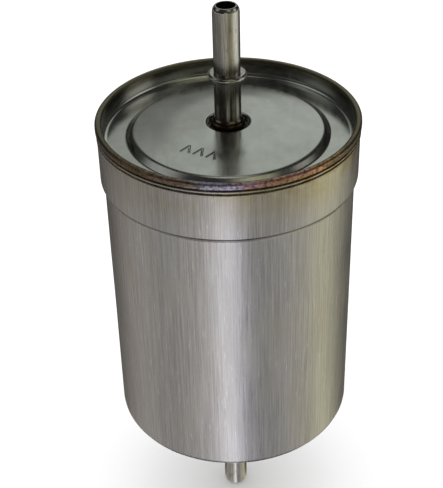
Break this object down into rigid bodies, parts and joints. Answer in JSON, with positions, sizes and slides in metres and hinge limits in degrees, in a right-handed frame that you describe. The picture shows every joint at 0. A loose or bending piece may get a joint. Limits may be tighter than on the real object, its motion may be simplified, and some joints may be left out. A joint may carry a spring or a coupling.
{
  "type": "fuel filter",
  "caption": "Welded steel in-line fuel filter: round can with a dished cover, a beaded tube nipple at each end and a pleated paper element inside.",
  "frame": {"origin": "on the can's axis, half way along its plain lower wall, in the middle of the clamping band's place", "axes": "+Z along the axis from the inlet nipple to the outlet nipple; X and Y are across it"},
  "size_m": [0.08, 0.08, 0.1873],
  "materials": {
    "can_steel": "vertically brushed stainless steel, satin",
    "cover_steel": "pressed stainless steel, smooth satin",
    "weld_steel": "heat-tinted seam weld, straw to blue",
    "tube_steel": "drawn stainless tube, semi-bright",
    "braze_metal": "oxidised copper braze, brown",
    "seal_rubber": "moulded black nitrile rubber",
    "disc_steel": "tin-plated pressed steel",
    "tube_perforated": "perforated tin-plated steel",
    "media_paper": "resin-impregnated cellulose filter paper",
    "potting_resin": "cured plastisol adhesive",
    "band_thread": "wound glass thread",
    "spring_steel": "drawn spring steel"
  },
  "bodies": {
    "root": {"housing_can": "can_steel", "end_cover": "cover_steel", "rim_weld": "weld_steel", "outlet_nipple": "tube_steel", "outlet_braze_ring": "braze_metal", "inlet_nipple": "tube_steel", "inlet_braze_ring": "braze_metal", "outlet_seal_ring": "seal_rubber", "upper_end_disc": "disc_steel", "upper_potting": "potting_resin", "filter_media": "media_paper", "media_seam_clip": "disc_steel", "pleat_spacing_bands": "band_thread", "centre_tube": "tube_perforated", "lower_potting": "potting_resin", "lower_end_disc": "disc_steel", "element_spring": "spring_steel", "inlet_baffle": "disc_steel"}
  },
  "joints": []
}
